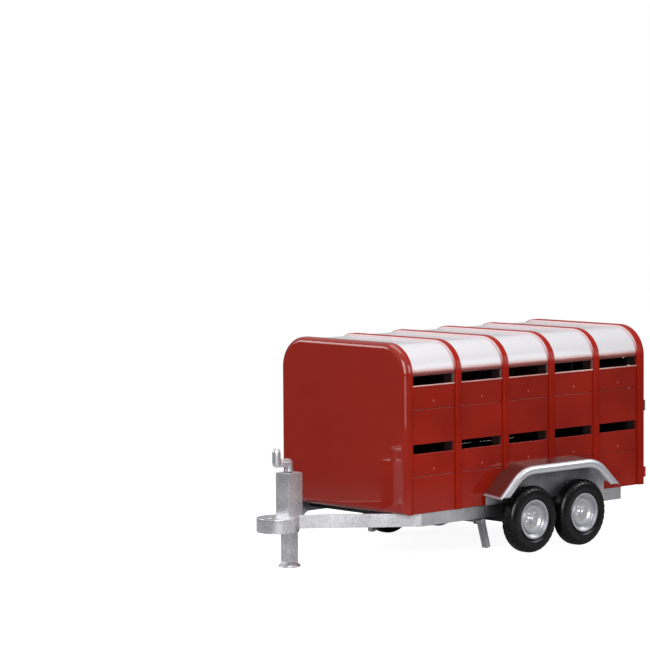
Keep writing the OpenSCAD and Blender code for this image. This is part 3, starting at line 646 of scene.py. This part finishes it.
# brackets stand out from the portal on both sides, so its own faces are found from the deck and lamps
portal_sides = (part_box("floor_deck")[1].y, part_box("rear_lamps")[0].y)
rolled_hoop("rear_portal", 22, portal_sides, material=HOOP_RED_REAR)
inner_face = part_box("board_low_left")[0].x
bend_axis_z = 1.9   # near the axis that the roof bends round: faces that look towards it are inside
# the boards' inner faces get the near-black painted shade
for side in ("left", "right"):
    for row in ("low", "middle", "upper", "top"):
        board = rounded_copy(f"board_{row}_{side}", 5, RED, segments=3)
        line_inside(board, INSIDE_SHADE, lambda centre, normal: abs(centre.x) < inner_face + 2 * MM)
# the roof sheets' inner faces get the near-black painted shade
for number in range(1, 6):
    sheet = rounded_copy(f"roof_sheet_{number}", 3, WHITE, segments=2)
    line_inside(sheet, INSIDE_SHADE, lambda centre, normal:
                normal.x * centre.x + normal.z * (centre.z - bend_axis_z) < -0.01)
# the inner frames and cant rails are near-black all over, a painted shade
for node in ("inner_frames", "cant_rails"):
    rounded_copy(node, 4, INSIDE_SHADE, segments=2)
rounded_copy("ramp", 5, RED, segments=3)
# the bolt heads are painted a paler red, a painted highlight
rounded_copy("board_bolts", 4.5, BOLT_HIGHLIGHT_RED, segments=4)
rounded_copy("floor_deck", 2, DECK, segments=2)
rounded_copy("ramp_treads", 3, ZINC, segments=2)
rounded_copy("rear_lamps", 9, LENS, segments=4)
# the back of the front panel gets the near-black painted shade
panel_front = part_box("front_panel")[0].y
line_inside(panel, INSIDE_SHADE, lambda centre, normal: centre.y > panel_front + 15 * MM and normal.y > 0.5)
print("inner face of the boards at", round(inner_face, 3))

# %% [markdown]
# ## Slots
#
# At its rear end each slot runs out in a pressed scoop, so that a nose isn't caught on an edge. One
# scoop is a block whose outer front edge is bevelled away with a hollow profile, and it is copied to
# every slot. The board under an upper slot has its top edge rolled out into a bead, made from a
# cylinder with rounded ends. The beads are pale pink, partly white overspray from the roof and partly
# a painted highlight. Each scoop darkens to near black with its depth, a painted shade, and the
# scoops above the beads are a darker red than the ones below.

# %% Bays between the hoops
hoops = [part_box(f"rib_{number}") for number in range(1, 5)]
PORTAL_BRACKET = 73 * MM   # the portal's brackets stand this far ahead of its own front side
bay_starts = [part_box("front_hoop")[1].y] + [high.y for low, high in hoops]
bay_stops = [low.y for low, high in hoops] + [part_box("rear_portal")[0].y + PORTAL_BRACKET]
outer_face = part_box("board_top_left")[1].x
low_slot = (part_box("board_middle_left")[1].z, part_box("board_upper_left")[0].z)
high_slot = (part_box("board_top_left")[1].z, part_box("roof_sheet_1")[0].z)
print("bays", [round(b - a, 3) for a, b in zip(bay_starts, bay_stops)])


# %% Scoop and bead finishes
SINK = 1 * MM          # scoops and beads lie this far behind the boards' outer face
SCOOP_SHADE_DEPTH = 26 * MM   # how deep a scoop is where its painted shade is full


def scoop_enamel(name, light, deep):
    """Red enamel that darkens to near black with the depth of the scoop, a painted shade in the recess.
    """
    material = red_enamel(name, light, deep)
    tree, shader, flat = colour_of(material)
    place = add(tree, "TexCoord").outputs["Object"]
    across = add(tree, "SeparateXYZ", [place]).outputs["X"]
    out = add(tree, "Math", [across], operation="ABSOLUTE").outputs[0]
    depth = add(tree, "MapRange", [out, outer_face - SCOOP_SHADE_DEPTH, outer_face - SINK,
                                   1.0, 0.0]).outputs["Result"]
    # the scoop's red darkens to 140303 with its depth, a painted shade
    mix = add(tree, "Mix", {0: depth, 6: flat, 7: paint("140303")}, data_type="RGBA").outputs[2]
    join_to(tree, shader, {"Base Color": mix})
    return material


SCOOP_RED = scoop_enamel("red_enamel_with_painted_shade_in_low_scoops", "8C1A0B", "811508")
# the scoops of the upper slots are a darker red than the ones below
SCOOP_DARKER_RED = scoop_enamel("darker_red_enamel_with_painted_shade_in_high_scoops", "702018", "58120C")
# the beads are pale pink: partly white overspray from the roof, partly a painted highlight on their top
BEAD_MIST_AND_HIGHLIGHT = red_enamel("red_enamel_with_mist_and_painted_highlight", "D9B4AF", "B4776F")
print("materials", SCOOP_RED.name, SCOOP_DARKER_RED.name, BEAD_MIST_AND_HIGHLIGHT.name)


# %% Scoops
SCOOP_DEPTH = 60 * MM
SCOOP_LENGTH = 104 * MM
BEAD_RADIUS = 8 * MM


def scoop_pattern():
    """A block of size one in the middle of the world whose outer front edge is hollowed away."""
    bpy.ops.object.select_all(action="DESELECT")
    bpy.ops.mesh.primitive_cube_add(size=1)
    block = bpy.context.object
    pick_edges(block, lambda a, b: min(a.x, b.x) > 0 and max(a.y, b.y) < 0)
    edit(block, lambda: bpy.ops.mesh.bevel(offset=0.97, segments=10, profile=0.16))
    return block


def along_bays(name, side, material, make):
    """One piece joined from what make(start, stop) gives in each bay, mirrored for the right side."""
    parts = [make(start, stop) for start, stop in zip(bay_starts, bay_stops)]
    only(parts[0])
    for part in parts:
        part.select_set(True)
    bpy.ops.object.join()
    joined = parts[0]
    joined.name = name
    if side < 0:
        only(joined)
        joined.scale.x = -1
        bpy.ops.object.transform_apply(location=True, rotation=True, scale=True)
        edit(joined, lambda: bpy.ops.mesh.select_all(action="SELECT"),
             lambda: bpy.ops.mesh.normals_make_consistent(inside=False))
    return finish_piece(joined, "trailer", material)


def scoop(stop, slot_z):
    """A scoop of its true size at the end of a bay, with its rear end 1 mm inside the hoop."""
    block = scoop_pattern()
    block.scale = (SCOOP_DEPTH, SCOOP_LENGTH, slot_z[1] - slot_z[0])
    block.location = (outer_face - SINK - SCOOP_DEPTH / 2, stop - SCOOP_LENGTH / 2 + 1 * MM,
                      sum(slot_z) / 2)
    only(block)
    bpy.ops.object.transform_apply(location=True, rotation=True, scale=True)
    return block


def bead(start, stop):
    """A bar along Y with rounded ends on the upper edge of the top board."""
    bpy.ops.object.select_all(action="DESELECT")
    bpy.ops.mesh.primitive_cylinder_add(
        vertices=20, radius=BEAD_RADIUS, depth=stop - start - 4 * MM, rotation=(math.pi / 2, 0, 0),
        location=(outer_face - SINK, (start + stop) / 2, high_slot[0] - BEAD_RADIUS + 2 * MM))
    bar = bpy.context.object
    bpy.ops.object.transform_apply(location=True, rotation=True, scale=True)
    pick_edges(bar, lambda a, b: abs(a.y - b.y) < MM)
    edit(bar, lambda: bpy.ops.mesh.bevel(offset=BEAD_RADIUS * 0.9, segments=5))
    return bar


for side, word in ((1, "left"), (-1, "right")):
    along_bays(f"low_slot_scoops_{word}", side, SCOOP_RED, lambda start, stop: scoop(stop, low_slot))
    along_bays(f"high_slot_scoops_{word}", side, SCOOP_DARKER_RED, lambda start, stop: scoop(stop, high_slot))
    along_bays(f"high_slot_beads_{word}", side, BEAD_MIST_AND_HIGHLIGHT, bead)
print("slots at", [round(z, 3) for z in low_slot + high_slot])

# %% [markdown]
# ## Chassis, jack and running gear
#
# Box sections get the radius of drawn tube, and the coupling head and crank, which are castings,
# get much more. The crank is remeshed after its parts are joined, so that the arm flows into the
# grip as in a casting.

# %% Chassis and jack
# the rails darken towards the wheels, a painted shade
for node in ("chassis_rail_left", "chassis_rail_right"):
    rounded_copy(node, 7, RAIL_SILVER)
# the cross members and axle beams get the dark painted shade under the floor
for node in ("cross_members", "axle_beams"):
    rounded_copy(node, 4, UNDER)
for node, width in (("drawbar_left", 7), ("drawbar_right", 7), ("jack_housing", 9), ("jack_leg", 7),
                    ("jack_foot", 5), ("prop_stand", 8), ("catch_left", 2),
                    ("catch_right", 2), ("ramp_hinges", 2)):
    rounded_copy(node, width, SILVER)
rounded_copy("coupling_head", 16, SILVER, segments=5)
for end in ("front", "rear"):
    for side in ("left", "right"):
        rounded_copy(f"arm_{end}_{side}", 5, SILVER)
bolt = rounded_copy("gate_bolt", 1.5, ZINC, segments=2)
# the facets of the bolt and of its bore don't line up, so the bolt is a little thinner than in the CAD
pick_faces(bolt, lambda centre, normal: abs(normal.x) < 0.7)
edit(bolt, lambda: bpy.ops.transform.shrink_fatten(value=-0.3 * MM))
# the compartment's side of the gates gets the near-black painted shade, so that no bright sheet shows
# through the slots
for side in ("left", "right"):
    gate = rounded_copy(f"gate_{side}", 1.5, ZINC, segments=2)
    line_inside(gate, INSIDE_SHADE, lambda centre, normal: normal.y < -0.2)
print("bolt", bolt.name, "gates lined")


# %% Crank
CAST_VOXEL = 5 * MM
ABOVE_HOUSING = 14 * MM   # the casting is softened from this height above the jack's housing
GRIP_LENGTH = 84 * MM     # the arm and post start this far behind the grip's front
ARM_FATTER = 11 * MM
CAST_FATTER = 8 * MM


def cast_crank():
    piece = merged_copy("crank_handle", "crank_handle_cast")
    remesh = piece.modifiers.new("cast", "REMESH")
    remesh.mode = "VOXEL"
    remesh.voxel_size = CAST_VOXEL
    apply_all(piece)
    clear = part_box("jack_housing")[1].z + ABOVE_HOUSING
    grip_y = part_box("crank_handle")[0].y + GRIP_LENGTH
    # softening thins a bar, so the arm and post are fattened before it, and the whole casting after it
    pick_faces(piece, lambda centre, normal: centre.z > clear and centre.y > grip_y)
    edit(piece, lambda: bpy.ops.transform.shrink_fatten(value=ARM_FATTER))
    pick_faces(piece, lambda centre, normal: centre.z > clear)
    edit(piece, lambda: bpy.ops.mesh.vertices_smooth(factor=0.5, repeat=40),
         lambda: bpy.ops.transform.shrink_fatten(value=CAST_FATTER))
    low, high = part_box("crank_handle")
    points = [vertex.co for vertex in piece.data.vertices if vertex.co.z > clear]
    print("crank width", round(max(p.x for p in points) - min(p.x for p in points), 3),
          "front", round(min(p.y for p in points) - low.y, 4),
          "top", round(max(p.z for p in points) - high.z, 4))
    return finish_piece(piece, "crank", SILVER, replaces=["crank_handle"], smooth=60)


crank = cast_crank()
print(crank.name, "faces", len(crank.data.polygons))

# %% [markdown]
# ## Mudguards
#
# Each guard is a sheet with a deep, rounded outer lip, which is the brightest line on the trailer.
# The CAD part is right in its line, so it is copied. The lip's flat outer face is pushed back and
# then built out again by several insets, each narrower and higher, so that its section becomes half
# an ellipse.

# %% Mudguards
ROLL_STEPS = 7
ROLL_DEPTH = 26 * MM
ROLL_HALF = 44 * MM   # half the height of the lip's face that is taken up by the roll


def rolled_guard(side):
    node = f"mudguard_{side}"
    piece = merged_copy(node, node + "_rolled")
    low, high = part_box(node)
    reach = max(abs(low.x), abs(high.x))
    outwards = 1 if side == "left" else -1
    count = pick_faces(piece, lambda centre, normal: abs(centre.x) > reach - 0.5 * MM)
    edit(piece, lambda: bpy.ops.transform.translate(value=(-outwards * ROLL_DEPTH, 0, 0)))
    for step in range(ROLL_STEPS):
        a, b = (math.pi / 2 * (step + k) / ROLL_STEPS for k in (0, 1))
        across = ROLL_HALF * (math.cos(a) - math.cos(b))
        out = ROLL_DEPTH * (math.sin(b) - math.sin(a))
        edit(piece, lambda: bpy.ops.mesh.inset(thickness=across, depth=out))
    bevel = piece.modifiers.new("edges", "BEVEL")
    bevel.width = 3 * MM
    bevel.segments = 3
    bevel.limit_method = "ANGLE"
    bevel.angle_limit = math.radians(40)
    apply_all(piece)
    print(piece.name, "lip faces", count)
    return finish_piece(piece, "trailer", GUARD, replaces=[node], smooth=38)


for side in ("left", "right"):
    rolled_guard(side)
# the plates behind the wheels darken towards them, a painted shade
rounded_copy("splash_plates", 2, PLATE, segments=2)

# %% [markdown]
# ## Wheels
#
# The tyre's section is a square with well rounded corners, spun once round the wheel. Its shoulder
# lugs are cut by extruding every third row of shoulder faces inwards, staggered from one side to
# the other. One tyre is made, and each wheel gets its own copy.

# %% Tyre
SPIN_STEPS = 96
BEAD_SEAT_R = 205 * MM     # where the tyre sits on its rim
CORNER_R = 62 * MM
LUG_DEPTH = 5 * MM
SHOULDER_BAND = 42 * MM    # the lugs lie within this of the tread,
SHOULDER_FROM = 34 * MM    # and start this far from the middle


def tyre_pattern():
    """A tyre round the X axis, in the middle of the world."""
    low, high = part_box("tyre_front_left")
    width, outer = high.x - low.x, (high.z - low.z) / 2
    bpy.ops.object.select_all(action="DESELECT")
    bpy.ops.mesh.primitive_plane_add(size=1, location=(0, 0, 0))
    tyre = bpy.context.object
    tyre.scale = (width, outer - BEAD_SEAT_R, 1)
    only(tyre)
    bpy.ops.object.transform_apply(location=True, rotation=True, scale=True)
    edit(tyre, lambda: bpy.ops.mesh.select_all(action="SELECT"),
         lambda: bpy.ops.mesh.delete(type="ONLY_FACE"),
         lambda: bpy.ops.mesh.select_all(action="SELECT"),
         lambda: bpy.ops.mesh.bevel(offset=CORNER_R, segments=7, affect="VERTICES"),
         lambda: bpy.ops.transform.translate(value=(0, (outer + BEAD_SEAT_R) / 2, 0)),
         lambda: bpy.ops.mesh.spin(steps=SPIN_STEPS, angle=2 * math.pi, center=(0, 0, 0), axis=(1, 0, 0)),
         lambda: bpy.ops.mesh.select_all(action="SELECT"),
         lambda: bpy.ops.mesh.remove_doubles(threshold=0.1 * MM),
         lambda: bpy.ops.mesh.normals_make_consistent(inside=False))

    def groove(centre, normal):
        radius = math.hypot(centre.y, centre.z)
        step = int((math.degrees(math.atan2(centre.z, centre.y)) % 360) / (360 / SPIN_STEPS))
        shoulder = radius > outer - SHOULDER_BAND and abs(centre.x) > SHOULDER_FROM
        return shoulder and step % 3 == (0 if centre.x > 0 else 1)

    count = pick_faces(tyre, groove)
    edit(tyre, lambda: bpy.ops.mesh.extrude_region_shrink_fatten(
        TRANSFORM_OT_shrink_fatten={"value": -LUG_DEPTH}))
    print("tyre groove faces", count, "outer radius", round(outer, 3))
    return tyre


pattern = tyre_pattern()
for end in ("front", "rear"):
    for side in ("left", "right"):
        node = f"tyre_{end}_{side}"
        low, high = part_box(node)
        tyre = bpy.data.objects.new(node + "_moulded", pattern.data.copy())
        bpy.context.collection.objects.link(tyre)
        tyre.location = (low + high) / 2
        finish_piece(tyre, body_of[node], RUBBER, replaces=[node], smooth=32)
        rounded_copy(f"rim_{end}_{side}", 2.5, WHEEL)
bpy.data.objects.remove(pattern)

# %% [markdown]
# ## Floor, light and camera
#
# The floor is a plain pale disc that fades out to a white surround. The surround is white to the
# eye but dimmer to the paint, as in a studio where white walls stand far off, so the red keeps its
# depth. Large soft lights do the rest, and a long lens looks from the front left corner.

# %% Floor and surround
FLOOR_RADIUS = 9.0
FLOOR_FADE = (3.6, 8.0)      # metres from the middle
FLOOR_GLOW = 0.92            # only to the camera, so that the floor doesn't light the paint
SKY_LOW, SKY_HIGH = 0.14, 0.62


def pale_floor():
    bpy.ops.object.select_all(action="DESELECT")
    bpy.ops.mesh.primitive_circle_add(vertices=96, radius=FLOOR_RADIUS, fill_type="NGON",
                                      location=(0, 0, 0))
    floor = bpy.context.object
    floor.name = "studio_floor"
    material, tree, shader, place = new_material("plain_pale_floor", {
        "Roughness": 0.9, "Specular IOR Level": 0.1,
        "Base Color": paint("B4B4B4"), "Emission Color": paint("FFFFFF")})
    seen = add(tree, "LightPath").outputs["Is Camera Ray"]
    away = add(tree, "VectorMath", [place], operation="LENGTH").outputs["Value"]
    join_to(tree, shader, {
        "Emission Strength": add(tree, "MapRange", [seen, 0.0, 1.0, 0.0, FLOOR_GLOW]).outputs["Result"],
        "Alpha": add(tree, "MapRange", [away, *FLOOR_FADE, 1.0, 0.0]).outputs["Result"]})
    floor.data.materials.append(material)
    return floor


def white_surround():
    """White to the camera, and to the paint a grey that brightens upwards."""
    world = bpy.data.worlds.new("studio")
    bpy.context.scene.world = world
    world.use_nodes = True
    tree = world.node_tree
    back = tree.nodes["Background"]
    back.inputs["Color"].default_value = paint("FFFFFF")
    where = add(tree, "TexCoord").outputs["Generated"]
    up = add(tree, "SeparateXYZ", [where]).outputs["Z"]
    sky = add(tree, "MapRange", [up, 0.0, 0.6, SKY_LOW, SKY_HIGH]).outputs["Result"]
    seen = add(tree, "LightPath").outputs["Is Camera Ray"]
    level = add(tree, "Mix", {"Factor": seen, "A": sky, "B": 1.0}).outputs["Result"]
    join_to(tree, back, {"Strength": level})


floor = pale_floor()
white_surround()
print("floor", floor.name)

# %% Lights
TRAILER_MIDDLE = (0, 0, 1.2)


def soft_light(name, location, size, power, target=TRAILER_MIDDLE, height=None):
    """A rectangular area light, size and height in metres and power in watts."""
    light = bpy.data.lights.new(name, "AREA")
    light.shape = "RECTANGLE"
    light.size = size
    light.size_y = height or size
    light.energy = power
    lamp = bpy.data.objects.new(name, light)
    bpy.context.collection.objects.link(lamp)
    lamp.location = location
    lamp.rotation_euler = (Vector(target) - Vector(location)).to_track_quat("-Z", "Y").to_euler()


soft_light("key_softbox", (8.5, -8.5, 6.5), size=8.0, power=1150)
soft_light("top_softbox", (0.0, 0.0, 9.0), size=6.0, power=260)
soft_light("front_fill", (-9.0, -9.0, 6.0), size=5.0, power=420)
soft_light("rear_fill", (10.0, 9.0, 5.5), size=5.0, power=380)
# a small light for the glints in the clear coat
soft_light("spark", (7.0, -11.0, 8.0), size=0.5, power=60)
# a low strip that faces the camera's corner, for the wheels, the jack and the chassis
soft_light("edge_glint", (10.0, -10.0, 0.75), size=8.0, power=60, target=(0, 0, 0.9), height=1.2)
print("lights", len(bpy.data.lights))

# %% Camera
LENS_MM = 166.3
EYE = (23.28, -23.28, 4.81)
LOOK_AT = (-0.847, -0.80, 2.445)
ROLL_DEGREES = -0.39


def long_lens_camera():
    camera = bpy.data.cameras.new("camera")
    camera.lens = LENS_MM
    camera.sensor_width = 36.0
    camera.clip_end = 500
    seat = bpy.data.objects.new("camera", camera)
    bpy.context.collection.objects.link(seat)
    seat.location = EYE
    turn = (Vector(LOOK_AT) - Vector(EYE)).to_track_quat("-Z", "Y").to_matrix().to_4x4()
    seat.rotation_euler = turn.to_euler()
    seat.rotation_euler.rotate_axis("Z", math.radians(ROLL_DEGREES))
    bpy.context.scene.camera = seat
    return seat


camera = long_lens_camera()
bpy.context.scene.view_settings.view_transform = "Standard"
print("camera", tuple(round(v, 2) for v in camera.location))
